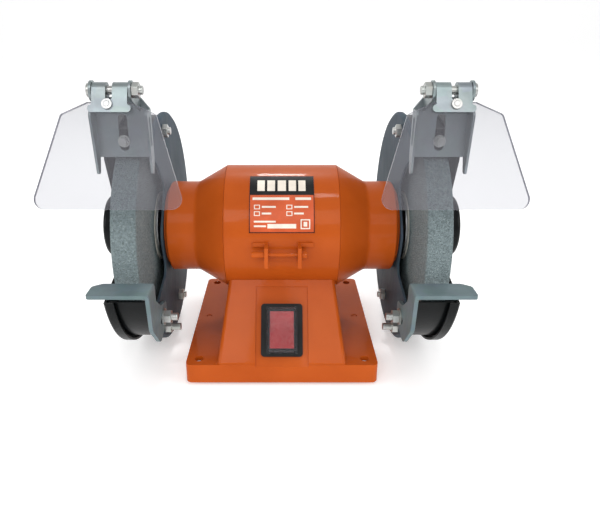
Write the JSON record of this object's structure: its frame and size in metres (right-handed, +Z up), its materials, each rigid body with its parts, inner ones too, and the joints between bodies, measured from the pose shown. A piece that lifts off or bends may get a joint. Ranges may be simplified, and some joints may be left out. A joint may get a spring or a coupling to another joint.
{
  "type": "bench grinder",
  "caption": "Electric bench grinder with a wheel at each end of the motor shaft, guards, tilting eye shields, adjustable tool rests and a rocker switch in a slanted base.",
  "frame": {"origin": "on the bench plane straight below the middle of the shaft", "axes": "+X along the shaft to the operator's right, +Y to the rear, +Z up"},
  "size_m": [0.279, 0.1785, 0.203],
  "materials": {
    "orange_paint": "glossy enamel",
    "black_paint": "satin enamel",
    "zinc": "zinc plated sheet",
    "steel": "machined",
    "abrasive": "vitrified grey grit",
    "paper": "pressed paper",
    "rubber": "matte",
    "black_plastic": "matte",
    "red_plastic": "gloss",
    "clear_boot": "soft clear plastic",
    "clear_plastic": "clear polycarbonate",
    "label": "printed film",
    "lamination": "stacked sheet",
    "copper": "enamelled wire"
  },
  "bodies": {
    "frame": {"base": "orange_paint", "base_plate": "zinc", "base_plate_screws": "orange_paint", "rubber_feet": "rubber", "switch_housing": "black_plastic", "switch_boot": "clear_boot", "capacitor": "black_plastic", "terminal_block": "black_plastic", "cord_grommet": "rubber", "stator_housing": "orange_paint", "left_end_shield": "orange_paint", "right_end_shield": "orange_paint", "stator_core": "lamination", "windings": "copper", "wave_washer": "steel", "rating_plate": "label", "lug_bracket": "orange_paint", "lug_bolt": "orange_paint", "left_bearing_outer": "steel", "left_inner_guard": "zinc", "left_guard_band": "black_paint", "left_outer_cover": "black_paint", "left_guard_screws": "zinc", "left_rest_bolts": "zinc", "left_bracket_bolts": "zinc", "right_bearing_outer": "steel", "right_inner_guard": "zinc", "right_guard_band": "black_paint", "right_outer_cover": "black_paint", "right_guard_screws": "zinc", "right_rest_bolts": "zinc", "right_bracket_bolts": "zinc"},
    "rotor": {"shaft": "steel", "rotor_core": "lamination", "wheel_blotters": "paper", "left_bearing_inner": "steel", "left_inner_flange": "steel", "left_outer_flange": "steel", "left_wheel": "abrasive", "left_wheel_nut": "zinc", "right_bearing_inner": "steel", "right_inner_flange": "steel", "right_outer_flange": "steel", "right_wheel": "abrasive", "right_wheel_nut": "zinc"},
    "rocker": {"switch_rocker": "red_plastic"},
    "left_balls": {"left_bearing_balls": "steel"},
    "left_rest": {"left_tool_rest": "zinc"},
    "left_bracket": {"left_shield_bracket": "zinc", "left_hinge_bolt": "zinc"},
    "left_shield": {"left_shield_hinge": "zinc", "left_eye_shield": "clear_plastic", "left_shield_screw": "zinc"},
    "right_balls": {"right_bearing_balls": "steel"},
    "right_rest": {"right_tool_rest": "zinc"},
    "right_bracket": {"right_shield_bracket": "zinc", "right_hinge_bolt": "zinc"},
    "right_shield": {"right_shield_hinge": "zinc", "right_eye_shield": "clear_plastic", "right_shield_screw": "zinc"}
  },
  "joints": [
    {"name": "rotor_spin", "type": "hinge", "parent": "frame", "child": "rotor", "pos_m": [0, 0, 0.0925], "axis": [1, 0, 0], "continuous": true},
    {"name": "switch_rock", "type": "hinge", "parent": "frame", "child": "rocker", "pos_m": [0, -0.05278, 0.03452], "axis": [1, 0, 0], "range_deg": [0, 12]},
    {"name": "left_ball_train", "type": "hinge", "parent": "frame", "child": "left_balls", "pos_m": [-0.0695, 0, 0.0925], "axis": [1, 0, 0], "continuous": true},
    {"name": "left_rest_slide", "type": "slide", "parent": "frame", "child": "left_rest", "axis": [0, 1, 0], "range_m": [-0.0045, 0.002]},
    {"name": "left_bracket_slide", "type": "slide", "parent": "frame", "child": "left_bracket", "axis": [0, 0, 1], "range_m": [-0.0015, 0.002]},
    {"name": "left_shield_tilt", "type": "hinge", "parent": "left_bracket", "child": "left_shield", "pos_m": [-0.097, -0.064, 0.1975], "axis": [1, 0, 0], "range_deg": [-100, 8]},
    {"name": "right_ball_train", "type": "hinge", "parent": "frame", "child": "right_balls", "pos_m": [0.0695, 0, 0.0925], "axis": [1, 0, 0], "continuous": true},
    {"name": "right_rest_slide", "type": "slide", "parent": "frame", "child": "right_rest", "axis": [0, 1, 0], "range_m": [-0.0045, 0.002]},
    {"name": "right_bracket_slide", "type": "slide", "parent": "frame", "child": "right_bracket", "axis": [0, 0, 1], "range_m": [-0.0015, 0.002]},
    {"name": "right_shield_tilt", "type": "hinge", "parent": "right_bracket", "child": "right_shield", "pos_m": [0.097, -0.064, 0.1975], "axis": [1, 0, 0], "range_deg": [-100, 8]}
  ],
  "couplings": [
    {"joint": "left_ball_train", "follows": "rotor_spin", "ratio": 0.38},
    {"joint": "right_ball_train", "follows": "rotor_spin", "ratio": 0.38}
  ]
}
